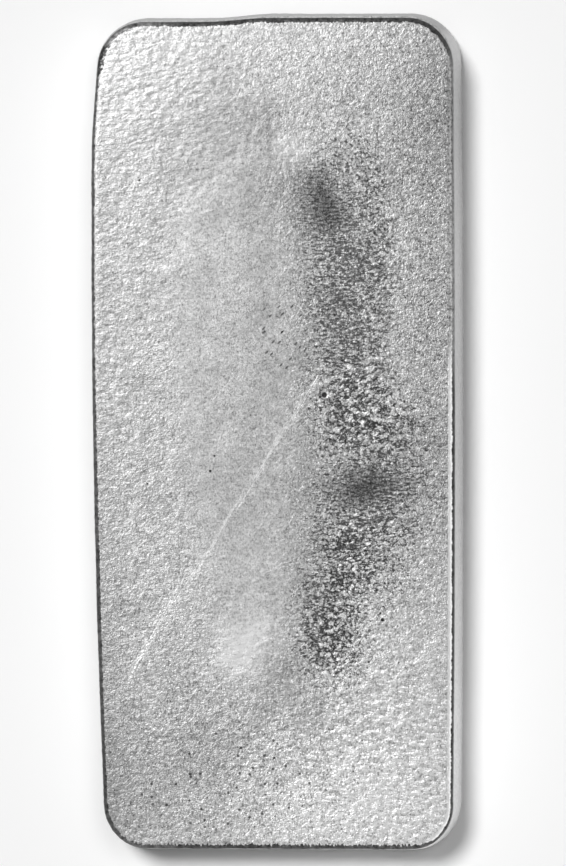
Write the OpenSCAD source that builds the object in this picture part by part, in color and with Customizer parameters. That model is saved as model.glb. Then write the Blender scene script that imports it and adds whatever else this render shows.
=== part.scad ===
// Cast silver ingot, lying with its poured side down and its mould side up.
// Origin: middle of the underside. +X is across the ingot, +Y points to its head end, +Z is up.
// All sizes are in millimetres.

/* [Size] */
// Length of the underside, foot end to head end
base_length = 117.8; // [90:0.1:140]
// Width of the underside
base_width = 52.6; // [40:0.1:64]
// Thickness, underside to the highest part of the face
thickness = 16.5; // [10:0.1:25]

/* [Walls and edges] */
// How far each long wall leans in between the underside and the face
side_draft = 1.0; // [0:0.1:3]
// How far each end wall leans in between the underside and the face
end_draft = 0.9; // [0:0.1:3]
// Corner radii at the underside: head right, head left, foot left, foot right
corner_radii = [7.4, 7.6, 6.9, 6.9]; // [5:0.1:10]
// Radius of the edge round the face
rim_radius = 0.8; // [0.3:0.1:1.5]
// Radius of the edge round the underside
foot_radius = 2.2; // [0.5:0.1:3]

/* [Wear of the mould] */
// How far the ends of the left wall bow in, at one half length from its crest
left_bow = 0.95; // [0:0.05:2]
// Place of the left wall's crest along the ingot, from the middle
left_crest = 28; // [-40:1:40]
// How far the left wall draws in over its last stretch before the head end's corner
head_taper = 0.65; // [0:0.05:1.5]
// How far the ends of the right wall bow in
right_bow = 0.35; // [0:0.05:2]
// How far the left part of the head end stands back
head_step = 0.6; // [0:0.1:1.5]
// Place of that step across the ingot, from the middle
head_step_place = -5; // [-15:1:15]
// Drop of the crowned face from its middle to its edge
crown = 0.7; // [0:0.1:1.5]
// Depth of the long sink in the face
sink_depth = 0.4; // [0:0.05:0.8]
// Place of the sink's deepest line across the ingot, from the middle
sink_place = 10; // [-12:1:12]
// How far the sink's ends bend back towards the left
sink_bend = 5; // [0:0.5:8]

/* [Fineness] */
// Steps in each rounded corner of the outline
corner_steps = 7; // [4:1:10]
// Points along each long side, between its corners
side_points = 15; // [8:1:20]
// Points along each end, between its corners
end_points = 11; // [6:1:16]
// Rings of facets between the edge of the face and its middle
face_rings = 9; // [5:1:12]

/* [Hidden] */
half_length = base_length / 2;
half_width = base_width / 2;
// The mould side's edge is rounded in this many steps, and the underside's in as many
edge_steps = 5;
// Where the left wall starts to draw in towards the head end, and over what length
head_taper_start = 39;
head_taper_run = 15;
// Length over which the head end steps back
head_step_run = 9;
// The block runs this far below the underside before it is trimmed flat
trim_depth = 1;
// Wide enough to trim the whole underside
trim_size = 2 * base_length;
// The sink fades out over these distances from its deepest line and from its middle
sink_half_width = 8;
sink_half_length = 38;

function eased(t) = let (u = min(1, max(0, t))) u * u * (3 - 2 * u);

// The points of one side between two corners, without its ends
function between(from, to, count) = [for (i = [1:count]) from + (to - from) * i / (count + 1)];

function corner(centre, radius, start) = [
    for (i = [0:corner_steps]) centre + radius * [cos(start + 90 * i / corner_steps), sin(start + 90 * i / corner_steps)]
];

// Rounded rectangle, counter-clockwise from the foot end's right corner.
// in_x and in_y bring the sides and ends in, and every corner radius shrinks with them.
function rounded_outline(in_x, in_y) =
    let (
        w = half_width - in_x,
        l = half_length - in_y,
        r = [for (radius = corner_radii) max(0.5, radius - (in_x + in_y) / 2)],
        foot_right = corner([w - r[3], r[3] - l], r[3], -90),
        head_right = corner([w - r[0], l - r[0]], r[0], 0),
        head_left = corner([r[1] - w, l - r[1]], r[1], 90),
        foot_left = corner([r[2] - w, r[2] - l], r[2], 180)
    )
    concat(
        foot_right,
        between([w, r[3] - l], [w, l - r[0]], side_points),
        head_right,
        between([w - r[0], l], [r[1] - w, l], end_points),
        head_left,
        between([-w, l - r[1]], [-w, r[2] - l], side_points),
        foot_left,
        between([r[2] - w, -l], [w - r[3], -l], end_points)
    );

// Bows the walls in and steps the head end back, as the worn mould leaves them
function worn(p) =
    let (
        to_left = (1 - p.x / half_width) / 2,
        to_head = max(0, p.y / half_length),
        left_in = left_bow * pow((p.y - left_crest) / half_length, 2)
            + head_taper * eased((p.y - head_taper_start) / head_taper_run),
        right_in = right_bow * pow(p.y / half_length, 2),
        step = head_step * eased((head_step_place - p.x) / head_step_run + 0.5)
    )
    [p.x + left_in * to_left - right_in * (1 - to_left), p.y - step * pow(to_head, 4)];

// Depth of the sink: a shallow trough that bends like a bow, left by the metal shrinking as it cooled
function sink(p) =
    let (
        along = p.y / sink_half_length,
        across = (p.x - sink_place + sink_bend * along * along) / sink_half_width
    )
    sink_depth * exp(-across * across - pow(along, 4));

// Height of the crowned face above the underside
function face_height(p) =
    thickness - crown * (pow(abs(p.x) / half_width, 2.5) + pow(abs(p.y) / half_length, 4)) / 2 - sink(p);

// Share of the wall's lean that is reached at a height
function lean(z) = min(1, max(0, z / thickness));

function wall_ring(inset, z) = [
    for (p = rounded_outline(inset + side_draft * lean(z), inset + end_draft * lean(z))) let (q = worn(p)) [q.x, q.y, z]
];

// One ring of the rounded edge between wall and face: turn is 0 at the wall and 90 at the face
function rim_ring(turn) =
    let (inset = rim_radius * (1 - cos(turn)), below = rim_radius * (1 - sin(turn)))
    [
        for (p = rounded_outline(inset + side_draft, inset + end_draft))
            let (q = worn(p)) [q.x, q.y, face_height(q) - below]
    ];

// The face's edge drawn in towards the middle, at the face's height
function face_ring(share) = [
    for (p = rim_ring(90)) let (q = [p.x, p.y] * share) [q.x, q.y, face_height(q)]
];

function ingot_rings() =
    let (
        foot = [for (i = [0:edge_steps]) let (a = 90 * i / edge_steps)
            wall_ring(foot_radius * (1 - sin(a)), foot_radius * (1 - cos(a)))],
        rim = [for (i = [0:edge_steps]) rim_ring(90 * i / edge_steps)],
        face = [for (i = [1:face_rings - 1]) face_ring(1 - i / face_rings)]
    )
    concat([wall_ring(foot_radius, -trim_depth)], foot, rim, face);

// Closed block of rings, with a point in the middle of its bottom and one in the middle of its top
module ring_block(rings, bottom_point, top_point) {
    n = len(rings[0]);
    m = len(rings);
    points = concat([for (ring = rings) each ring], [bottom_point, top_point]);
    bottom = [for (i = [0:n - 1]) [i, (i + 1) % n, n * m]];
    walls = [
        for (k = [0:m - 2], i = [0:n - 1])
            let (j = (i + 1) % n, a = k * n + i, b = k * n + j, c = b + n, d = a + n)
            each [[a, d, c], [a, c, b]]
    ];
    top = [for (i = [0:n - 1]) [(m - 1) * n + i, n * m + 1, (m - 1) * n + (i + 1) % n]];
    polyhedron(points = points, faces = concat(bottom, walls, top), convexity = 4);
}

module ingot() {
    color("silver")
    difference() {
        ring_block(ingot_rings(), [0, 0, -trim_depth], [0, 0, face_height([0, 0])]);
        translate([0, 0, -trim_size / 2]) cube(trim_size, center = true);
    }
}

ingot();
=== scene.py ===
import math

import bpy
from mathutils import Matrix, Vector


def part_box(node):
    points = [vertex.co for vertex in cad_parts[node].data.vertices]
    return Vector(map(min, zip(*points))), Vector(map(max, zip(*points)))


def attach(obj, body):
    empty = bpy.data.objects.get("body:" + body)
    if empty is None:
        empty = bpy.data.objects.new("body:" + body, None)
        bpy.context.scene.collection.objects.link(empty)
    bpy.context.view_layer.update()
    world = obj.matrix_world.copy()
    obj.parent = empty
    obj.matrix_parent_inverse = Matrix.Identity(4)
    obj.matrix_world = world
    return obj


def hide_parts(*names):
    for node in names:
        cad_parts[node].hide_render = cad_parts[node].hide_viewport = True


bl_info = {
    "name": "Cast Silver Ingot",
    "version": (1, 0, 0),
    "blender": (4, 5, 0),
    "location": "View3D > Sidebar > Ingot",
    "description": "Casts a frosted silver ingot round its packed frame and lays it on a pale studio floor",
    "category": "Object",
}

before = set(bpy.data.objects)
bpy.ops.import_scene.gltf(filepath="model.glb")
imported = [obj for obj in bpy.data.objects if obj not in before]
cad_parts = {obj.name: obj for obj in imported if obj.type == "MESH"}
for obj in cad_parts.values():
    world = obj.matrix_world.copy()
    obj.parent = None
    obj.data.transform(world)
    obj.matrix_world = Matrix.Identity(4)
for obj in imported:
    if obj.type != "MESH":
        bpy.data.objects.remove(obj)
CAD_LOW, CAD_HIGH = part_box("ingot")
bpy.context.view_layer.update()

MM = 0.001
# Brightness of the studio's dome where it meets the far floor, the same as the lit floor's
FLOOR_GLOW = 0.937
# Half the side of the square floor, in metres
FLOOR_HALF = 30
# Points closer than this are merged into one, in metres
MERGE_DISTANCE = 0.001 * MM
# All lengths from here on are in millimetres, unless a comment says metres.
# Height of the face above the floor, and half the ingot's length and width
TOP = CAD_HIGH.z / MM
HALF_LENGTH = CAD_HIGH.y / MM
HALF_WIDTH = CAD_HIGH.x / MM
# The stretch of the left wall, along the ingot, over which it draws in towards the head end
TAPER_START = 39
TAPER_END = 54
# The stretch across the ingot, left of its middle, over which the head end steps back
STEP_START = 0.5
STEP_END = 9.5
# The sink's deepest line and how far its ends bend back, and the distances over which it fades out
SINK_PLACE = 10
SINK_BEND = 5
SINK_HALF_WIDTH = 8
SINK_HALF_LENGTH = 38
# The cooling waves' width, how many times as long they are, and their turn from +X in degrees
WAVE_GRAIN = 0.52
WAVE_STRETCH = 2.1
WAVE_TURN = 9
# The walls' finish passes into the face's between these heights
FACE_LOW = TOP - 1.6
FACE_HIGH = TOP - 0.9
# Width, length and height of the surface's grains
FROST = (0.27, 0.37, 0.3)
CRUST = (0.42, 0.42, 0.4)
PEBBLES = (0.9, 0.8, 0.8)
RAISED_PEBBLES = (0.9, 0.8, 0.9)
SWELLS = (6, 6, 6)
STREAKS = (2.0, 0.2, 0.5)
WALL_BANDS = (7, 7, 0.4)
DARK_GRAINS = (0.45, 0.38, 0.4)
RIM_WOBBLE = (0.6, 0.6, 3)
# The same for patterns that don't change with the height
CLUMPS = (2.8, 2.4, 1)
WEAVE = (0.8, 0.3, 1)
RIM_COMB = (0.3, 1.2, 1)
CHIP_CRUMBS = (0.42, 0.42, 1)
# Height of the face's broad swells, in metres
SWELL_HEIGHT = 0.12 * MM


# ---------------------------------------------------------------- node expressions


class Value:
    """A socket of a node tree. Arithmetic on it adds Math nodes to its tree."""

    def __init__(self, graph, socket):
        self.graph = graph
        self.socket = socket

    def math(self, operation, *others):
        values = dict(enumerate([self, *others]))
        return self.graph.add("ShaderNodeMath", {"operation": operation}, values)

    def __add__(self, other):
        return self.math("ADD", other)

    def __radd__(self, other):
        return self + other

    def __sub__(self, other):
        return self.math("SUBTRACT", other)

    def __rsub__(self, other):
        return self.graph.add("ShaderNodeMath", {"operation": "SUBTRACT"}, {0: other, 1: self})

    def __mul__(self, other):
        return self.math("MULTIPLY", other)

    def __rmul__(self, other):
        return self * other

    def __truediv__(self, other):
        return self.math("DIVIDE", other)

    def __pow__(self, other):
        return self.math("POWER", other)

    def __abs__(self):
        return self.math("ABSOLUTE")

    def clamped(self):
        return self.math("MINIMUM", 1).math("MAXIMUM", 0)

    def rise(self, low, high):
        """0 below low, 1 above high, and a smooth step between."""
        settings = {"interpolation_type": "SMOOTHSTEP"}
        return self.graph.add("ShaderNodeMapRange", settings, {0: self, 1: low, 2: high, 3: 0, 4: 1})

    def fall(self, low, high):
        """1 below low, 0 above high, and a smooth step between."""
        return 1 - self.rise(low, high)

    def mix(self, low, high):
        """low where this value is 0, high where it is 1."""
        return self.graph.add("ShaderNodeMix", {"data_type": "FLOAT"}, {0: self, 2: low, 3: high})


class Graph:
    """A node tree to which nodes are added by type, settings and sockets."""

    def __init__(self, tree):
        self.tree = tree

    def add(self, kind, settings=None, values=None, output=0):
        node = self.tree.nodes.new(kind)
        for name, setting in (settings or {}).items():
            setattr(node, name, setting)
        for key, value in (values or {}).items():
            if isinstance(value, Value):
                self.tree.links.new(value.socket, node.inputs[key])
            else:
                node.inputs[key].default_value = value
        return Value(self, node.outputs[output])

    def split(self, vector):
        """The three numbers of a vector."""
        first = self.add("ShaderNodeSeparateXYZ", None, {0: vector})
        return [Value(self, socket) for socket in first.socket.node.outputs]

    def join(self, x, y, z):
        return self.add("ShaderNodeCombineXYZ", None, {0: x, 1: y, 2: z})

    def noise(self, x, y, z, detail=2.0, roughness=0.5):
        """Smooth noise round 0.5, whose features are about one unit across."""
        values = {"Vector": self.join(x, y, z), "Scale": 1.0, "Detail": detail, "Roughness": roughness}
        return self.add("ShaderNodeTexNoise", None, values)

    def grains(self, x, y, z, size, detail=2.0, roughness=0.5):
        """Noise round 0, whose grains have the width, length and height that size gives."""
        width, along, up = size
        return self.noise(x / width, y / along, z / up, detail, roughness) - 0.5

    def scatter(self, x, y, share):
        """Distance to the nearest of points about one unit apart, of which only a share is kept."""
        values = {"Vector": self.join(x, y, 0), "Scale": 1.0}
        distance = self.add("ShaderNodeTexVoronoi", {"voronoi_dimensions": "2D"}, values)
        chance = self.split(Value(self, distance.socket.node.outputs["Color"]))[0]
        return distance + chance.math("GREATER_THAN", share)


# ---------------------------------------------------------------- sizes and colours


def length(name, description, default, low, high):
    """A property for a length, given in millimetres and kept in metres."""
    return bpy.props.FloatProperty(
        name=name,
        description=description,
        default=default * MM,
        min=low * MM,
        max=high * MM,
        unit="LENGTH",
        precision=5,
    )


def share(name, description, default, low=0.0, high=1.0):
    return bpy.props.FloatProperty(
        name=name, description=description, default=default, min=low, max=high, subtype="FACTOR"
    )


def color(name, description, default):
    return bpy.props.FloatVectorProperty(
        name=name, description=description, default=default, size=3, min=0, max=1, subtype="COLOR"
    )


class IngotShape(bpy.types.PropertyGroup):
    """The block's form. Its length, width and thickness come from the frame."""

    side_draft: length("Side draft", "Lean of the long walls from underside to face", 1.0, 0, 3)
    end_draft: length("End draft", "Lean of the end walls from underside to face", 0.9, 0, 3)
    rim_radius: length("Rim radius", "Rounding of the edge round the face", 0.8, 0.3, 1.5)
    foot_radius: length("Foot radius", "Rounding of the edge round the underside", 2.2, 0.5, 3)
    corner_radii: bpy.props.FloatVectorProperty(
        name="Corner radii",
        description="Corners of the underside: head right, head left, foot left, foot right",
        size=4,
        default=(7.4 * MM, 7.6 * MM, 6.9 * MM, 6.9 * MM),
        unit="LENGTH",
        precision=5,
    )
    left_bow: length("Left bow", "How far the ends of the left wall bow in", 0.95, 0, 2)
    left_crest: length("Left crest", "Place of the left wall's crest along the ingot", 28, -40, 40)
    head_taper: length("Head taper", "How far the left wall draws in before the head end", 0.65, 0, 1.5)
    right_bow: length("Right bow", "How far the ends of the right wall bow in", 0.35, 0, 2)
    head_step: length("Head step", "How far the left part of the head end stands back", 0.6, 0, 1.5)
    crown: length("Crown", "Drop of the face from its middle to its edge", 0.7, 0, 1.5)
    sink_depth: length("Sink depth", "Depth of the long sink in the face", 0.4, 0, 0.8)


class IngotSkin(bpy.types.PropertyGroup):
    """The cast surface: its relief, colour and gloss."""

    pebble_height: length("Pebble height", "Height of the frosted surface's pebbles", 0.07, 0, 0.2)
    wave_height: length("Wave height", "Height of the cooling waves at two corners", 0.1, 0, 0.3)
    pit_depth: length("Pit depth", "Depth of the gas pits", 0.12, 0, 1)
    chip_depth: length("Chip depth", "Depth of the chipped stretch of the rim", 0.16, 0, 1)
    bright: color("Bright silver", "Colour of the clean frosted silver", (0.86, 0.86, 0.86))
    # The darkest colour is also what painted shade and painted dark reflection darken towards
    dull_and_shade: color("Dull silver and shade", "Colour of the darkest grains and seams", (0.025, 0.025, 0.025))
    roughness: share("Roughness", "Roughness of the frosted silver", 0.36)


# The suns over the floor: how wide each looks, in degrees, and where it stands
SUNS = {
    "overhead": (26, (0, 0, 1)),
    "slant": (11, (-0.16, 0.22, 1)),
    "cross": (13, (0.17, 0.15, 1)),
}
# The key light's side and place, in metres
KEY_SIDE = 0.6
KEY_PLACE = (-0.36, 0.30, 0.80)
# The camera's lean from straight above to the right and to the head, in degrees
LEAN_RIGHT = 2.9
LEAN_HEAD = 0.9
# The camera's sensor, in millimetres, and the place on the face that it looks at, in metres
SENSOR_WIDTH = 36
SIGHT = Vector((1.45 * MM, 0, CAD_HIGH.z))


class StudioStage(bpy.types.PropertyGroup):
    """Floor, lights and camera."""

    floor_color: color("Floor", "Colour of the pale floor", (0.9, 0.9, 0.9))
    zenith: share("Zenith", "Brightness of the studio straight overhead", 0.45, 0, 4)
    horizon: share("Horizon", "Brightness of the studio at the level of the floor", 1.2, 0, 4)
    key_power: bpy.props.FloatProperty(
        name="Key light", description="Power of the large soft light", default=3.6, min=0, unit="POWER"
    )
    overhead_power: share("Overhead light", "Strength of the light straight above the floor", 0.25, 0, 20)
    slant_power: share("Slanting light", "Strength of the floor's main light, which slants", 2.45, 0, 20)
    cross_power: share("Cross light", "Strength of the weaker light from the other side", 0.5, 0, 20)
    camera_distance: length("Camera distance", "From the lens to the face", 1300, 300, 5000)
    frame_height: length("Frame height", "Height of what the camera takes in", 120.6, 60, 400)


# ---------------------------------------------------------------- the cast surface's pattern

# Places and sizes on the face are in millimetres, and places are from its middle. Each patch has its place,
# its size across and along the ingot, its turn in degrees and how much it adds.
# The long band of dark grains: painted dark reflection of the sink's sloping side, broken into grains
DARK_REFLECTION_PATCHES = [
    ((10.5, 25.0), (6.5, 14.0), 0, 0.47),
    ((7.6, 30.0), (2.6, 5.5), 10, 0.16),
    ((9.3, 14.0), (4.5, 7.5), 0, 0.24),
    ((12.3, 3.4), (7.8, 6.4), 0, 0.42),
    ((16.0, -7.5), (7.4, 6.8), 10, 0.44),
    ((12.5, -8.0), (3.4, 2.6), 10, 0.12),
    ((10.2, -15.5), (6.6, 7.5), 8, 0.37),
    ((6.8, -26.5), (5.4, 8.0), -10, 0.49),
    ((10.5, -31.0), (4.0, 4.5), 0, 0.16),
    ((15.5, -20.0), (3.6, 4.0), 0, 0.13),
]
# Soft shading under the dark grains, streaked along the ingot's width where it is deepest
SHADE_PATCHES = [
    ((7.2, 33.8), (2.7, 4.2), 8, 0.60),
    ((9.0, 29.4), (3.5, 3.0), 0, 0.50),
    ((3.6, 34.0), (4.2, 5.0), 0, 0.32),
    ((8.0, 18.0), (4.4, 9.0), 0, 0.33),
    ((5.0, 28.5), (2.6, 3.0), 0, 0.16),
    ((13.1, -7.6), (6.3, 3.5), 12, 0.93),
    ((5.2, -22.0), (2.6, 9.0), -8, 0.14),
]
# Painted light and shade on the face: how much lighter or darker the clean silver is
PAINTED_LIGHT_PATCHES = [
    ((-22, 50), (16, 13), 0, 0.085),
    ((-25, 0), (3.5, 60), 0, -0.06),
    ((-24, -40), (4.5, 17), 0, -0.05),
    ((-25, -52), (4, 7), 0, -0.10),
    ((-8, 45), (9, 6), 0, -0.08),
    ((-1.4, 42.5), (2.2, 4.0), 0, -0.10),
    ((-3, 57), (22, 4.5), 0, 0.05),
    ((15, 44), (10, 6), 0, -0.05),
    ((24, 47), (5, 13), 0, -0.12),
    ((-14, 38), (9, 6), 0, -0.04),
    ((-2, -4), (9, 32), 0, 0.05),
    ((0.9, 5), (2.2, 26), 0, 0.05),
    # Painted highlight on a bright smooth spot
    ((2.6, 39.5), (3.2, 2.3), 0, 0.24),
    ((11.5, 42.5), (4, 3), 0, 0.06),
    ((16.5, 36), (5, 5), 0, -0.07),
    ((18.5, -14), (3.5, 8), 0, -0.08),
    ((15, -48), (6, 7), 0, 0.03),
    ((22, 24), (6, 34), 0, -0.08),
    ((22, -26), (6, 14), 0, 0.10),
    ((18, -50), (22, 17), -20, 0.33),
    ((5, -57), (26, 6), 0, 0.08),
    ((8, -45), (4, 4), 0, -0.05),
    ((22, -1.5), (3, 5), 0, -0.06),
    ((9, 17), (4, 4), 0, -0.07),
    ((4, -38), (6, 8), 0, -0.10),
    ((-8, -42), (5, 6), 0, -0.07),
    ((12, -53), (12, 5), 0, 0.06),
    ((2.5, 49), (4, 4), 0, 0.05),
    ((1, -34), (3.2, 3.5), 0, -0.07),
    ((-18, -49), (15, 11), 0, -0.08),
    ((-5, -22), (8, 9), 0, 0.10),
    # Painted highlight on a bright smooth spot and its tail
    ((-4.9, -31.0), (3.2, 3.2), 0, 0.41),
    ((-2.2, -27.6), (3.6, 2.4), 30, 0.25),
    ((8, -39.5), (6.5, 3.5), 0, -0.08),
    ((-8, -45.5), (4, 3.5), 0, -0.05),
    ((4.5, -45.5), (4, 3), 0, -0.04),
    ((14.5, -52), (5, 3.5), 0, 0.05),
    ((0.9, 22.5), (2.2, 5), 0, 0.06),
    ((17.5, 14), (5, 8), 0, -0.06),
    ((4.2, 17.5), (2, 4), 0, 0.07),
    ((-9.5, 26), (3, 5), 0, 0.05),
    ((0.5, -14), (2.5, 9), 0, 0.05),
    ((-20, -26), (5, 10), 0, -0.03),
    ((13, -3.5), (6, 4), 0, -0.05),
    ((-3, -22.5), (3, 4), 0, 0.05),
    ((-11, 8), (5, 6), 0, 0.04),
]
# How much rougher or calmer the frost is
ROUGH_PATCHES = [
    ((24, 30), (12, 34), 0, 0.55),
    ((4, -48), (22, 12), 0, 0.45),
    ((12, -10), (10, 30), 0, 0.2),
    ((2.6, 39.5), (3.4, 2.6), 0, -0.4),
    ((-3.8, -29.6), (4.6, 4.4), 20, -0.4),
    ((0, -20), (8, 8), 0, -0.12),
]
# Gas pits: place and radius
PITS = [
    ((7.2, 5.3), 0.45),
    ((-8.1, -3.2), 0.17),
    ((-8.7, -5.3), 0.22),
    ((-17.5, -7.1), 0.17),
    ((-18.6, 35.2), 0.17),
    ((15.3, -26.0), 0.3),
    ((15.0, -25.1), 0.19),
    ((13.4, -31.9), 0.17),
    ((11.9, -33.6), 0.14),
]
# The chipped stretch of the rim, near the head's left corner: its place, size and turn
CHIP = ((-24.1, 51.8), (0.9, 2.4), -17)
# Scratches: strength, start, end, half width, and the share of the length after which it fades
SCRATCHES = [
    (0.30, (6.5, 8.1), (-22.8, -38.6), 0.40, 0.4),
    (0.34, (-13.2, -21.6), (-21.6, -37.2), 0.5, 0.6),
    (0.2, (-22.8, -26.0), (-17.8, -29.4), 0.26, 0.8),
    (0.09, (24.6, 35.9), (15.5, 23.4), 0.3, 0.8),
]


def streaked_noise(graph, x, y, z, grain, stretch, turn, detail=2.0, roughness=0.5):
    """Noise whose features are grain wide and stretch times as long, turned from +X towards +Y."""
    cosine = math.cos(math.radians(turn))
    sine = math.sin(math.radians(turn))
    along = (x * cosine + y * sine) / (grain * stretch)
    across = (y * cosine - x * sine) / grain
    return graph.noise(along, across, z / grain, detail, roughness)


def patch(x, y, place, size, turn=0.0):
    """A soft elliptical patch: 1 at its place, fading out over its size."""
    cosine = math.cos(math.radians(turn))
    sine = math.sin(math.radians(turn))
    across = x - place[0]
    along = y - place[1]
    first = (across * cosine + along * sine) / size[0]
    second = (along * cosine - across * sine) / size[1]
    return (0 - (first * first + second * second)).math("EXPONENT")


def patches(x, y, entries):
    """Sum of soft patches, each with its place, size, turn and how much it adds."""
    total = 0 * x
    for place, size, turn, more in entries:
        total = total + more * patch(x, y, place, size, turn)
    return total


def dark_reflection_share(x, y):
    """Share of the dark grains, painted dark reflection: a long band right of the middle, with a sharp left
    border.
    """
    border = 4.3 - 1.8 * y.fall(-24, -12)
    right_border = 1 - 0.6 * x.rise(14.5, 18.5) * y.rise(2, 8)
    return patches(x, y, DARK_REFLECTION_PATCHES).clamped() * (x - border).rise(-3.2, 2.8) * right_border


def smooth_zone(x, y):
    """Share of the smooth skin in the middle of the face."""
    return patch(x, y, (-5.5, 8), (10, 44), 3).rise(0.12, 0.75)


def wave_zone(x, y):
    """Where the cooling waves stand: the head's left corner, the left side and the foot's right corner."""
    head = patch(x, y, (-22, 52), (22, 16), -30)
    foot = patch(x, y, (20, -48), (22, 18), -35)
    left = patch(x, y, (-24, 18), (8, 26), 0)
    return (head + foot + 0.6 * left).clamped()


def tone_with_painted_light(x, y):
    """How light the clean silver is, with the painted light and shade and painted highlights, before grains
    and marks.
    """
    return 0.52 + patches(x, y, PAINTED_LIGHT_PATCHES)


def cooling_waves(graph, x, y, z):
    """Short waves that rise to the right, as the skin froze: above 0 on a crest, below it in a trough."""
    drift = (graph.noise(x / 3, y / 3, z / 3, 1.0) - 0.5) * 1.3
    # At the foot's right corner they lie flatter
    flatter = 0.36 * x * x.rise(-5, 5) * y.fall(-30, -12)
    along = y + drift * 0.7 + flatter
    return streaked_noise(graph, x + drift, along, z, WAVE_GRAIN, WAVE_STRETCH, WAVE_TURN, 2.0, 0.55) - 0.5


def wave_calm(y):
    """The waves are lower towards the head than at the foot."""
    return 1 - 0.4 * y.rise(0, 9)


def pit_depth(x, y, pits, soft):
    """1 at the bottom of each gas pit, 0 outside it."""
    total = 0 * x
    for place, radius in pits:
        across = (x - place[0]) / radius
        along = (y - place[1]) / radius
        total = total + (across * across + along * along).fall(0.4, 1 + soft)
    return total.clamped()


def along_line(x, y, start, end):
    """How far a place is along the line from start to end and across it, and the line's length."""
    run = Vector(end) - Vector(start)
    full = run.length
    along = ((x - start[0]) * run.x + (y - start[1]) * run.y) / full
    across = ((y - start[1]) * run.x - (x - start[0]) * run.y) / full
    return along, across, full


def scratch(graph, x, y, start, end, half_width, fade):
    """A scratch of many fine lines from start to end, which fades out after a share of its length."""
    along, across, full = along_line(x, y, start, end)
    lines = graph.noise(along / 9, across / 0.17, 0, 1.0).rise(0.46, 0.6)
    spread = across / half_width
    body = (0 - spread * spread).math("EXPONENT")
    return body * (0.18 + 1.1 * lines) * along.rise(-0.5, 0.5) * along.fall(full * fade, full)


def hairline(x, y, start, end, half_width):
    """A fine line from start to end: 1 on it."""
    along, across, full = along_line(x, y, start, end)
    line = abs(across).fall(half_width * 0.4, half_width)
    return line * along.rise(-0.2, 0.2) * along.fall(full - 0.2, full + 0.2)


# ---------------------------------------------------------------- the block


CELLS_ACROSS = 162
CELLS_ALONG = 372
CELLS_UP = 20
FOOT_CELLS = 5
RIM_CELLS = 5
# The underside's cells are merged in blocks this many wide; both counts above are even multiples of it
UNDERSIDE_BLOCK = 3


def add_input(tree, name, default):
    socket = tree.interface.new_socket(name=name, in_out="INPUT", socket_type="NodeSocketFloat")
    socket.default_value = default
    return socket.identifier


def coarser_underside(graph, u, v, level):
    """Moves the underside's inner points onto a coarser grid, on which they then merge."""
    moved = []
    inner = level.math("LESS_THAN", 0.5 / CELLS_UP)
    for value, cells in ((u, CELLS_ACROSS), (v, CELLS_ALONG)):
        inner = inner * abs(value).math("LESS_THAN", 1 - UNDERSIDE_BLOCK / cells)
    for value, cells in ((u, CELLS_ACROSS), (v, CELLS_ALONG)):
        step = 2 * UNDERSIDE_BLOCK / cells
        snapped = (value / step).math("ROUND") * step
        moved.append(inner.mix(value, snapped))
    return moved


def edge_profile(level, size):
    """How far in and how high the wall is at a level that runs from 0, underside, to 1, face."""
    foot = (level * (CELLS_UP / FOOT_CELLS)).clamped() * (math.pi / 2)
    wall_cells = CELLS_UP - FOOT_CELLS - RIM_CELLS
    wall = ((level * CELLS_UP - FOOT_CELLS) / wall_cells).clamped()
    rim = ((level * CELLS_UP - (CELLS_UP - RIM_CELLS)) / RIM_CELLS).clamped() * (math.pi / 2)
    rounding = (1 - foot.math("SINE")) * size["Foot radius"] + (1 - rim.math("COSINE")) * size["Rim radius"]
    wall_height = size["Thickness"] - size["Foot radius"] - size["Rim radius"]
    height = (
        (1 - foot.math("COSINE")) * size["Foot radius"]
        + wall * wall_height
        + rim.math("SINE") * size["Rim radius"]
    )
    return rounding, height


def rounded_plan(graph, u, v, inset_x, inset_y, size):
    """Place on the rounded rectangle of a point whose u and v run from -1 to 1 across a plain one."""
    half_width = size["Width"] / 2 - inset_x
    half_length = size["Length"] / 2 - inset_y
    right = u.math("GREATER_THAN", 0)
    head = v.math("GREATER_THAN", 0)
    at_head = right.mix(size["Corner 2"], size["Corner 1"])
    at_foot = right.mix(size["Corner 3"], size["Corner 4"])
    radius = head.mix(at_foot, at_head) - (inset_x + inset_y) / 2
    x = abs(u) * half_width
    y = abs(v) * half_length
    in_x = ((x - half_width + radius) / radius).clamped()
    in_y = ((y - half_length + radius) / radius).clamped()
    # A square corner becomes a quarter disc
    round_x = in_x * (1 - in_y * in_y / 2).math("SQRT")
    round_y = in_y * (1 - in_x * in_x / 2).math("SQRT")
    x = x.math("MINIMUM", half_width - radius) + radius * round_x
    y = y.math("MINIMUM", half_length - radius) + radius * round_y
    return x * u.math("SIGN"), y * v.math("SIGN")


def worn_plan(x, y, size):
    """Bows the walls in and steps the head end back, as the worn mould leaves them."""
    half_width = size["Width"] / 2
    half_length = size["Length"] / 2
    to_left = (1 - x / half_width) / 2
    left_in = size["Left bow"] * ((y - size["Left crest"]) / half_length) ** 2
    left_in = left_in + size["Head taper"] * y.rise(TAPER_START * MM, TAPER_END * MM)
    right_in = size["Right bow"] * (y / half_length) ** 2
    step = size["Head step"] * (0 - x).rise(STEP_START * MM, STEP_END * MM)
    to_head = (y / half_length).math("MAXIMUM", 0) ** 4
    return x + left_in * to_left - right_in * (1 - to_left), y - step * to_head


def face_drop(x, y, size):
    """How far the crowned and sunken face lies below the ingot's full thickness."""
    half_width = size["Width"] / 2
    half_length = size["Length"] / 2
    crown = ((abs(x) / half_width) ** 2.5 + (abs(y) / half_length) ** 4) * size["Crown"] / 2
    along = y / (SINK_HALF_LENGTH * MM)
    across = (x - SINK_PLACE * MM + SINK_BEND * MM * along * along) / (SINK_HALF_WIDTH * MM)
    sink = (0 - across * across - along**4).math("EXPONENT") * size["Sink depth"]
    return crown + sink


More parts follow.
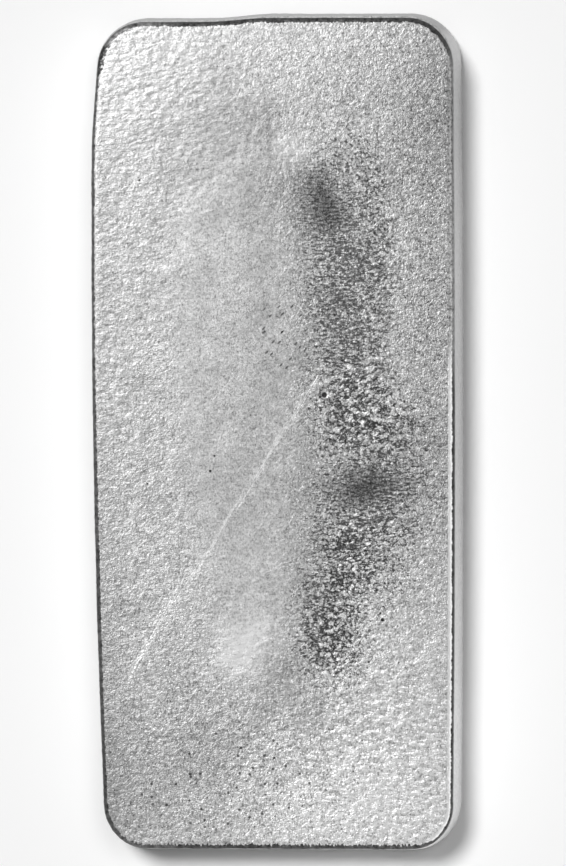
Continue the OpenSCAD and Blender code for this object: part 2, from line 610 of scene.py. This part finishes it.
def block_place(graph, point, size):
    """Place on the ingot of a point of a cube that spans -1 to 1 across and along, and 0 to 1 up."""
    u, v, level = graph.split(point)
    level = level + 0.5
    u, v = coarser_underside(graph, u, v, level)
    rounding, height = edge_profile(level, size)
    lean = height / size["Thickness"]
    inset_x = rounding + size["Side draft"] * lean
    inset_y = rounding + size["End draft"] * lean
    x, y = rounded_plan(graph, u, v, inset_x, inset_y, size)
    x, y = worn_plan(x, y, size)
    height = height - face_drop(x, y, size) * lean.rise(0.7, 1.0)
    return graph.join(x, y, height)


def relief_height(graph, point, size):
    """Height of the cast skin above the plain block, in metres."""
    x, y, z = [value / MM for value in graph.split(point)]
    rough = 1 - 0.85 * smooth_zone(x, y)
    pebbles = graph.grains(x, y, z, RAISED_PEBBLES, 2.5)
    waves = cooling_waves(graph, x, y, z)
    swells = graph.grains(x, y, z, SWELLS, 1.0)
    above_foot = z.rise(0.3, 2.5)
    on_face = z.rise(TOP - 3, TOP - 1.5)
    height = (
        pebbles * 2 * rough * size["Pebble height"]
        + waves * 1.3 * wave_zone(x, y) * wave_calm(y) * size["Wave height"]
        + swells * SWELL_HEIGHT
        - pit_depth(x, y, PITS[:1], 1.0) * on_face * size["Pit depth"]
        - patch(x, y, *CHIP) * on_face * (pebbles + 0.7) * size["Chip depth"]
    )
    return height * above_foot


def ingot_tree(shape, skin):
    """Geometry Nodes that cast the ingot, and the value of each of the tree's named inputs."""
    low, high = CAD_LOW, CAD_HIGH
    foot_lean = shape.foot_radius / high.z
    values = {
        "Length": high.y - low.y + 2 * shape.end_draft * foot_lean,
        "Width": high.x - low.x + 2 * shape.side_draft * foot_lean,
        "Thickness": high.z,
        "Side draft": shape.side_draft,
        "End draft": shape.end_draft,
        "Rim radius": shape.rim_radius,
        "Foot radius": shape.foot_radius,
        "Left bow": shape.left_bow,
        "Left crest": shape.left_crest,
        "Head taper": shape.head_taper,
        "Right bow": shape.right_bow,
        "Head step": shape.head_step,
        "Crown": shape.crown,
        "Sink depth": shape.sink_depth,
        "Pebble height": skin.pebble_height,
        "Wave height": skin.wave_height,
        "Pit depth": skin.pit_depth,
        "Chip depth": skin.chip_depth,
    }
    for number, radius in enumerate(shape.corner_radii, start=1):
        values[f"Corner {number}"] = radius
    tree = bpy.data.node_groups.new("cast_ingot", "GeometryNodeTree")
    tree.interface.new_socket(name="Geometry", in_out="OUTPUT", socket_type="NodeSocketGeometry")
    inputs = {add_input(tree, name, value): value for name, value in values.items()}
    graph = Graph(tree)
    group = tree.nodes.new("NodeGroupInput")
    size = {name: Value(graph, group.outputs[name]) for name in values}
    cube = graph.add(
        "GeometryNodeMeshCube",
        None,
        {
            "Size": (2, 2, 1),
            "Vertices X": CELLS_ACROSS + 1,
            "Vertices Y": CELLS_ALONG + 1,
            "Vertices Z": CELLS_UP + 1,
        },
    )
    place = graph.add("GeometryNodeInputPosition")
    on_block = block_place(graph, place, size)
    block = graph.add("GeometryNodeSetPosition", None, {"Geometry": cube, "Position": on_block})
    merged = graph.add("GeometryNodeMergeByDistance", None, {"Geometry": block, "Distance": MERGE_DISTANCE})
    smooth = graph.add("GeometryNodeSetShadeSmooth", None, {0: merged})
    height = relief_height(graph, place, size)
    normal = graph.add("GeometryNodeInputNormal")
    offset = graph.add("ShaderNodeVectorMath", {"operation": "SCALE"}, {0: normal, "Scale": height})
    skinned = graph.add("GeometryNodeSetPosition", None, {"Geometry": smooth, "Offset": offset})
    real = graph.add("GeometryNodeRealizeInstances", None, {0: skinned})
    silver = silver_material(skin)
    finished = graph.add("GeometryNodeSetMaterial", None, {"Geometry": real, "Material": silver})
    output = tree.nodes.new("NodeGroupOutput")
    tree.links.new(finished.socket, output.inputs[0])
    return tree, inputs


# ---------------------------------------------------------------- materials


def silver_material(skin):
    """Frosted cast silver with its band of dark grains, and painted light, shade, highlights and dark
    reflections in its colour.
    """
    material = bpy.data.materials.new("cast_silver")
    material.use_nodes = True
    material.node_tree.nodes.clear()
    graph = Graph(material.node_tree)
    place = graph.add("ShaderNodeTexCoord", None, None, "Object")
    x, y, z = [value / MM for value in graph.split(place)]
    face = z.rise(FACE_LOW, FACE_HIGH)
    smooth = smooth_zone(x, y) * face
    wavy = wave_zone(x, y) * face
    frost = graph.grains(x, y, z, FROST, 2.0, 0.9)
    crust = graph.grains(x, y, z, CRUST, 2.0, 0.7)
    crests = cooling_waves(graph, x, y, z) * wavy * wave_calm(y)
    rough = 0.6 + (0.5 - 0.2 * smooth - 0.35 * wavy + patches(x, y, ROUGH_PATCHES)) * face
    wobble = graph.grains(x, y, z, RIM_WOBBLE, 2.0, 0.7)
    inset = rim_inset(x, y)

    tone = frosted_tone(graph, x, y, z, frost, rough, crests, face)
    tone, dark = grained_tone(graph, x, y, z, tone, frost, face)
    tone = marked_tone(graph, x, y, tone, frost, face)
    tone = edged_tone(graph, x, y, z, tone, frost, wobble, inset, face)
    tone = walled_tone(x, y, tone, face)
    tone = chipped_tone(graph, x, y, tone, frost, wobble, inset, face)
    skin_height = crust * (rough - 0.2 - 0.5 * smooth) * 0.09 + crests * 0.115 - dark * 0.02

    shades = {0: tone.clamped(), 6: (*skin.dull_and_shade, 1), 7: (*skin.bright, 1)}
    base = graph.add("ShaderNodeMix", {"data_type": "RGBA"}, shades, 2)
    roughness = skin.roughness - 0.04 * smooth
    bump = graph.add("ShaderNodeBump", None, {"Strength": 1.0, "Distance": MM, "Height": skin_height})
    surface = graph.add(
        "ShaderNodeBsdfPrincipled",
        None,
        {"Base Color": base, "Metallic": 1.0, "Roughness": roughness, "Normal": bump},
    )
    target = material.node_tree.nodes.new("ShaderNodeOutputMaterial")
    material.node_tree.links.new(surface.socket, target.inputs["Surface"])
    return material


def frosted_tone(graph, x, y, z, frost, rough, crests, face):
    """Clean frosted silver: grains and pebbles, with streaks and waves on the face and bands on the walls;
    the waves' crests carry painted light and their troughs painted shade.
    """
    pebbles = graph.grains(x, y, z, PEBBLES, 1.0)
    streaks = graph.grains(x, y, z, STREAKS, 1.0)
    bands = graph.grains(x, y, z, WALL_BANDS)
    # The gaps between grains are darker than the grains are bright
    speckle = frost - 1.2 * frost * frost + 0.012
    tone = 1 + speckle * 2.6 * rough + pebbles * 0.7 * rough
    tone = tone + streaks * 0.35 * face + bands * 0.4 * (1 - face)
    # Crests are painted lighter and troughs darker: painted light and shade on the waves, stronger near the
    # foot
    wave_light_and_shade = 0.9 + 0.7 * y.fall(-30, -12)
    return tone * (1 + wave_light_and_shade * crests)


def grained_tone(graph, x, y, z, tone, frost, face):
    """Adds the dark grains, painted dark reflection in valleys round light islands, over the soft shading,
    and also gives their share.
    """
    band = dark_reflection_share(x, y) * face
    shade = (patches(x, y, SHADE_PATCHES) * face).clamped()
    # The net of valleys is wider near the head and finer near the foot
    upper = y.rise(6, 16)
    fine = y.fall(-20, -12)
    net_width = 1.5 + 0.6 * y.rise(4, 12) - 0.3 * fine
    net_length = 1.2 - 0.2 * fine
    net = abs(graph.noise(x / net_width, y / net_length, z / 0.9, 3.0, 0.66) - 0.5)
    grains = graph.grains(x, y, z, DARK_GRAINS, 2.0, 0.8)
    clumps = graph.grains(x, y, 0, CLUMPS, 1.0)
    weave = graph.grains(x, y, 0, WEAVE, 2.0, 0.7)
    # What stands higher stays light and the painted dark reflection fills the valleys. Where the shading is
    # deep, a fine weave takes the net's place
    height = net * (1 - 0.35 * upper) + grains * (0.35 + 0.15 * upper)
    height = (shade * 2).clamped().mix(height, 0.08 + weave * 1.1 + frost * 0.5)
    dark = (band * (0.2 + clumps * 0.2) - 0.022 - height).rise(-0.055, 0.065)
    dark = dark * (band * 8).clamped() * (1 - 0.4 * shade - 0.07 * upper)
    tone = tone * tone_with_painted_light(x, y) * (1 + band * (0.16 + net * 1.6))
    tone = tone * (1 - 0.93 * shade) * (1 + (weave * 3.2 + frost * 2) * shade)
    return tone * (1 - (0.94 + frost * 0.9) * dark), dark


def marked_tone(graph, x, y, tone, frost, face):
    """Adds the face's single marks to its tone: scratches, a thin line of painted shade, a hook, pores,
    dashes, and pits painted near black as painted shade.
    """
    scratches = 0 * x
    for strength, start, end, half_width, fade in SCRATCHES:
        scratches = scratches + strength * scratch(graph, x, y, start, end, half_width, fade)
    tone = tone + scratches * (frost * 2 + 1) * face
    # A thin line of painted shade along the edge of the painted highlight near the head
    crease_shade = hairline(x, y, (-0.7, 45), (-0.4, 38), 0.5)
    hook = hairline(x, y, (1.6, -14.2), (2.3, -15.0), 0.16)
    hook = hook + hairline(x, y, (2.3, -15.0), (2.0, -15.5), 0.16)
    tone = tone * (1 - (0.16 * crease_shade + 0.3 * hook) * face)
    pores = graph.scatter(x / 1.7 + frost * 0.1, y / 1.7, 0.42).fall(0.08, 0.14)
    pores = pores * patch(x, y, (-7, -48.5), (15, 8)).rise(0.2, 0.6)
    dashes = graph.scatter((x + y) / 2.5, (y - x) / 1.05, 0.45).fall(0.13, 0.21)
    dashes = dashes * patch(x, y, (1.8, 14.5), (4.2, 7)).rise(0.25, 0.6)
    flecks = graph.scatter((x + y) / 3.0, (y - x) / 1.7, 0.3).fall(0.05, 0.13) * smooth_zone(x, y)
    marks = 0.85 * pores + 0.75 * dashes + 0.35 * flecks
    tone = tone * (1 - marks.clamped() * face)
    # The pits are painted near black: painted shade in their hollows
    return tone * (1 - 0.97 * pit_depth(x, y, PITS, 0.1) * face)


def edged_tone(graph, x, y, z, tone, frost, wobble, inset, face):
    """Adds the dark broken line round the face, partly a real dark line under the rim and partly painted dark
    reflection of its rounding, and a painted highlight on the strip inside it.
    """
    comb = graph.grains(x, y, 0, RIM_COMB, 1.0)
    at_head = y.rise(HALF_LENGTH - 9, HALF_LENGTH - 3)
    # The foot's end starts halfway round its right corner
    round_corner = (x + y + HALF_LENGTH - HALF_WIDTH).fall(-5, -1)
    at_foot = y.fall(3 - HALF_LENGTH, 9 - HALF_LENGTH) * round_corner
    at_right = x.rise(HALF_WIDTH - 6, HALF_WIDTH - 4) * (1 - at_foot) * (1 - at_head)
    at_left = x.fall(4 - HALF_WIDTH, 6 - HALF_WIDTH) * y.fall(-15, 15)
    # The dark line, real and painted reflection, lies between an inner and an outer border
    inner = 0.4 + 0.46 * at_head + 0.18 * at_foot - 0.1 * at_right + 0.16 * at_left
    inner = inner + wobble * 0.5 + comb * (0.9 * at_foot + 0.5 * at_head)
    outer = 0.3 * at_head - 0.1
    rim_line_and_reflection = (inner - inset).rise(-0.06, 0.06) * (inset - outer).rise(-0.06, 0.06)
    rim_line_and_reflection = rim_line_and_reflection * z.rise(TOP - 2.0, TOP - 1.4)
    on_left = x.fall(-16, -12)
    beads = frost * 0.4 + wobble * (0.4 + 0.4 * on_left)
    faint = at_right * y.rise(5, 14)
    rim_line_and_reflection_strength = 0.92 - 0.12 * on_left + beads - faint * (0.42 + wobble * 0.8)
    tone = tone * (1 - rim_line_and_reflection_strength * rim_line_and_reflection)
    # Painted shade along the face's left edge, towards the foot
    tone = tone * (1 - 0.25 * at_left * inset.fall(0.4, 1.5) * face)
    # A painted highlight: the strip inside the right rim is set to the clean silver's full brightness
    painted_rim_highlight = at_right * (inset - inner).rise(-0.02, 0.1) * inset.fall(0.75, 0.95) * y.fall(8, 14)
    return (painted_rim_highlight * face).mix(tone, 1)


def walled_tone(x, y, tone, face):
    """Darkens the end wall at the head with painted shade, and darkens the wall round the foot's right
    corner.
    """
    head_wall_shade = (y - HALF_LENGTH + HALF_WIDTH - abs(x)).rise(-2, 1) * (1 - face)
    tone = tone * (1 - 0.55 * head_wall_shade)
    foot_corner = x.rise(HALF_WIDTH - 5, HALF_WIDTH - 1) * y.fall(6 - HALF_LENGTH, 22 - HALF_LENGTH)
    return tone * (1 - 0.16 * foot_corner * (1 - face))


def chipped_tone(graph, x, y, tone, frost, wobble, inset, face):
    """Adds the chip in the rim: a dark pitted sliver that narrows towards the foot."""
    crumbs = graph.grains(x, y, 0, CHIP_CRUMBS, 1.0)
    chip_width = 1.1 * y.rise(48.6, 51.4) + wobble * 0.5
    chip = (chip_width - inset).rise(0, 0.12) * y.rise(49, 49.4) * y.fall(53.6, 54.4)
    chip = chip * x.fall(-20, -15) * face
    chip_strength = 0.92 - 0.6 * (crumbs + frost * 0.5).rise(0.02, 0.12)
    return tone * (1 - chip_strength * chip)


def rim_inset(x, y):
    """How far in from the face's outer edge a place is, in millimetres."""
    shape = bpy.context.scene.ingot_shape
    half_width = HALF_WIDTH - shape.side_draft / MM * (1 - shape.foot_radius / CAD_HIGH.z)
    half_length = HALF_LENGTH - shape.end_draft / MM * (1 - shape.foot_radius / CAD_HIGH.z)
    x, y = unworn_plan(x, y, shape)
    draft = (shape.side_draft + shape.end_draft) / MM / 2
    radii = [radius / MM - draft for radius in shape.corner_radii]
    right = x.math("GREATER_THAN", 0)
    head = y.math("GREATER_THAN", 0)
    radius = head.mix(right.mix(radii[2], radii[3]), right.mix(radii[1], radii[0]))
    over_x = abs(x) - half_width + radius
    over_y = abs(y) - half_length + radius
    corner = (over_x.math("MAXIMUM", 0) ** 2 + over_y.math("MAXIMUM", 0) ** 2).math("SQRT")
    return radius - corner - over_x.math("MAXIMUM", over_y).math("MINIMUM", 0)


def unworn_plan(x, y, shape):
    """Takes the walls' bow and the head's step out of a place on the ingot, in millimetres."""
    to_left = (1 - x / HALF_WIDTH) / 2
    left_in = shape.left_bow / MM * ((y - shape.left_crest / MM) / HALF_LENGTH) ** 2
    left_in = left_in + shape.head_taper / MM * y.rise(TAPER_START, TAPER_END)
    right_in = shape.right_bow / MM * (y / HALF_LENGTH) ** 2
    step = shape.head_step / MM * (0 - x).rise(STEP_START, STEP_END)
    to_head = (y / HALF_LENGTH).math("MAXIMUM", 0) ** 4
    return x - left_in * to_left + right_in * (1 - to_left), y + step * to_head


def floor_material(stage):
    material = bpy.data.materials.new("pale_floor")
    material.use_nodes = True
    surface = material.node_tree.nodes["Principled BSDF"]
    surface.inputs["Base Color"].default_value = (*stage.floor_color, 1)
    surface.inputs["Roughness"].default_value = 0.9
    surface.inputs["Specular IOR Level"].default_value = 0.1
    return material


# ---------------------------------------------------------------- operators


def plain_mesh(context, piece):
    """Turns the modifiers' result into the piece's own mesh."""
    context.view_layer.update()
    depsgraph = context.evaluated_depsgraph_get()
    mesh = bpy.data.meshes.new_from_object(piece.evaluated_get(depsgraph), depsgraph=depsgraph)
    piece.modifiers.clear()
    piece.data = mesh


class INGOT_OT_cast(bpy.types.Operator):
    """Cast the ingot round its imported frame"""

    bl_idname = "ingot.cast"
    bl_label = "Cast Ingot"

    def execute(self, context):
        scene = context.scene
        piece = bpy.data.objects.new("cast_ingot", bpy.data.meshes.new("cast_ingot"))
        scene.collection.objects.link(piece)
        tree, inputs = ingot_tree(scene.ingot_shape, scene.ingot_skin)
        modifier = piece.modifiers.new("cast", "NODES")
        modifier.node_group = tree
        for identifier, value in inputs.items():
            modifier[identifier] = value
        plain_mesh(context, piece)
        if not piece.data.polygons:
            raise RuntimeError("the ingot's node tree made no faces")
        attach(piece, "root")
        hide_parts("ingot")
        return {"FINISHED"}


def studio_world(stage):
    """A soft dome that is darker overhead than near the floor."""
    world = bpy.data.worlds.new("studio")
    world.use_nodes = True
    world.node_tree.nodes.clear()
    graph = Graph(world.node_tree)
    direction = graph.add("ShaderNodeTexCoord", None, None, "Generated")
    x, y, z = graph.split(direction)
    strength = z.rise(0.0, 0.2).mix(FLOOR_GLOW, z.rise(0.55, 0.95).mix(stage.horizon, stage.zenith))
    background = graph.add("ShaderNodeBackground", None, {"Color": (1, 1, 1, 1), "Strength": strength})
    target = world.node_tree.nodes.new("ShaderNodeOutputWorld")
    world.node_tree.links.new(background.socket, target.inputs["Surface"])
    # The dome shows in the silver. The floor has lamps of its own
    world.cycles_visibility.diffuse = False
    return world


def aim(thing, place, target, up=Vector((0, 1, 0))):
    """Puts a lamp or camera at a place, looking at the target with up towards the picture's top."""
    back = (Vector(place) - Vector(target)).normalized()
    side = up.cross(back).normalized()
    top = back.cross(side)
    thing.location = place
    thing.rotation_mode = "QUATERNION"
    thing.rotation_quaternion = Matrix((side, top, back)).transposed().to_quaternion()


def light_group(name, things):
    """A collection of the only things that a lamp lights."""
    group = bpy.data.collections.new(name)
    for thing in things:
        group.objects.link(thing)
    return group


def lamp(name, kind, power, receivers):
    """A lamp that lights only its receivers."""
    light = bpy.data.lights.new(name, kind)
    light.energy = power
    thing = bpy.data.objects.new(name, light)
    bpy.context.scene.collection.objects.link(thing)
    thing.light_linking.receiver_collection = receivers
    return thing


class INGOT_OT_stage(bpy.types.Operator):
    """Lay the pale floor, hang the soft lights and set up the camera"""

    bl_idname = "ingot.stage"
    bl_label = "Lay Stage"

    def execute(self, context):
        scene = context.scene
        stage = scene.ingot_stage
        scene.world = studio_world(stage)
        scene.view_settings.view_transform = "Standard"
        floor = bpy.data.objects.new("floor", bpy.data.meshes.new("floor"))
        half = FLOOR_HALF
        corners = [(-half, -half, 0), (half, -half, 0), (half, half, 0), (-half, half, 0)]
        floor.data.from_pydata(corners, [], [(0, 1, 2, 3)])
        floor.data.materials.append(floor_material(stage))
        scene.collection.objects.link(floor)
        on_floor = light_group("on_floor", [floor])
        meshes = [thing for thing in scene.objects if thing.type == "MESH"]
        on_ingot = light_group("on_ingot", [thing for thing in meshes if thing != floor])
        key = lamp("key", "AREA", stage.key_power, on_ingot)
        key.data.size = KEY_SIDE
        aim(key, KEY_PLACE, (0, 0, 0))
        for name, (angle, place) in SUNS.items():
            sun = lamp(name, "SUN", getattr(stage, f"{name}_power"), on_floor)
            sun.data.angle = math.radians(angle)
            aim(sun, place, (0, 0, 0))
        camera = bpy.data.objects.new("camera", bpy.data.cameras.new("camera"))
        scene.collection.objects.link(camera)
        camera.data.sensor_width = SENSOR_WIDTH
        camera.data.lens = SENSOR_WIDTH * stage.camera_distance / stage.frame_height
        camera.data.clip_start = 0.05
        camera.data.clip_end = 100
        right = math.radians(LEAN_RIGHT)
        head = math.radians(LEAN_HEAD)
        out = Vector((math.sin(right), math.sin(head), math.cos(right))).normalized()
        aim(camera, SIGHT + out * stage.camera_distance, SIGHT)
        scene.camera = camera
        return {"FINISHED"}


class VIEW3D_PT_ingot(bpy.types.Panel):
    """Buttons that cast the ingot and lay its stage"""

    bl_label = "Cast Ingot"
    bl_space_type = "VIEW_3D"
    bl_region_type = "UI"
    bl_category = "Ingot"

    def draw(self, context):
        for operator in (INGOT_OT_cast, INGOT_OT_stage):
            self.layout.operator(operator.bl_idname)


CLASSES = (IngotShape, IngotSkin, StudioStage, INGOT_OT_cast, INGOT_OT_stage, VIEW3D_PT_ingot)
SETTINGS = {"ingot_shape": IngotShape, "ingot_skin": IngotSkin, "ingot_stage": StudioStage}


def register():
    for entry in CLASSES:
        bpy.utils.register_class(entry)
    for name, group in SETTINGS.items():
        setattr(bpy.types.Scene, name, bpy.props.PointerProperty(type=group))


def unregister():
    for name in SETTINGS:
        delattr(bpy.types.Scene, name)
    for entry in reversed(CLASSES):
        bpy.utils.unregister_class(entry)


def main():
    register()
    bpy.ops.ingot.cast()
    bpy.ops.ingot.stage()


if __name__ == "__main__":
    main()
